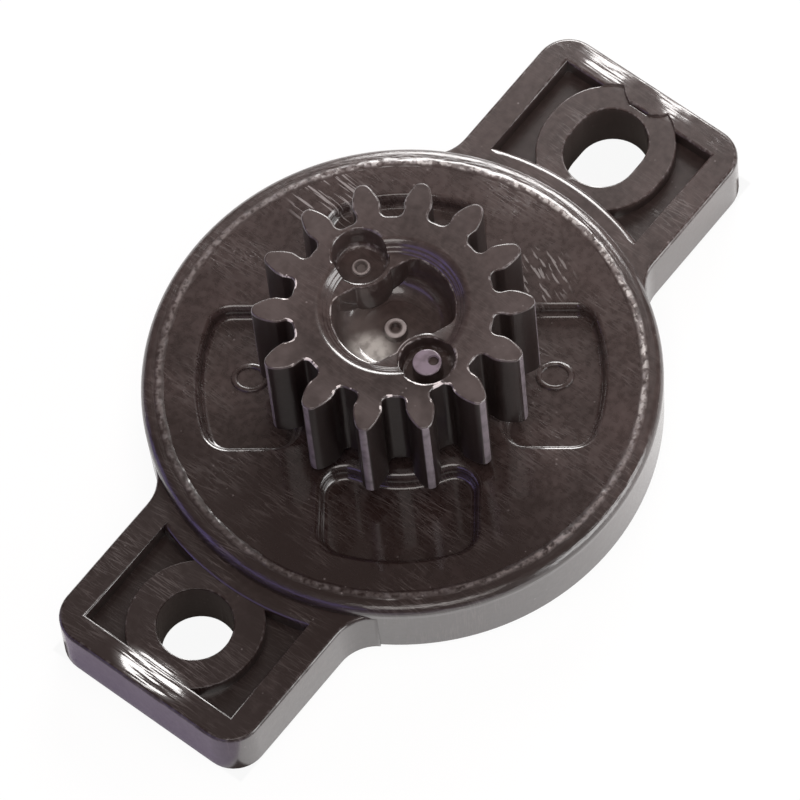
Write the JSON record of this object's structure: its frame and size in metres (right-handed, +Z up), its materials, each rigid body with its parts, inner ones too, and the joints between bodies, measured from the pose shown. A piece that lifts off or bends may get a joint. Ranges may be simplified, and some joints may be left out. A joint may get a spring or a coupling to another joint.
{
  "type": "gear rotary damper",
  "caption": "Flat round viscous rotary damper with a spur pinion on its shaft and opposite screw ears, used to slow lids and drawers.",
  "frame": {"origin": "middle of the flat underside, on the pinion's axis", "axes": "+Z up along the pinion's axis, +X through the screw holes towards the slotted one"},
  "size_m": [0.048, 0.03, 0.0134],
  "materials": {
    "black_plastic": "semi-gloss, lightly scratched",
    "seal_rubber": "satin"
  },
  "bodies": {
    "base": {"housing": "black_plastic", "cover": "black_plastic", "cover_seal": "seal_rubber", "shaft_seal": "seal_rubber"},
    "pinion": {"rotor": "black_plastic", "gear": "black_plastic"}
  },
  "joints": [
    {"name": "pinion_spin", "type": "hinge", "parent": "base", "child": "pinion", "pos_m": [0, 0, 0.0057], "axis": [0, 0, 1], "continuous": true}
  ]
}
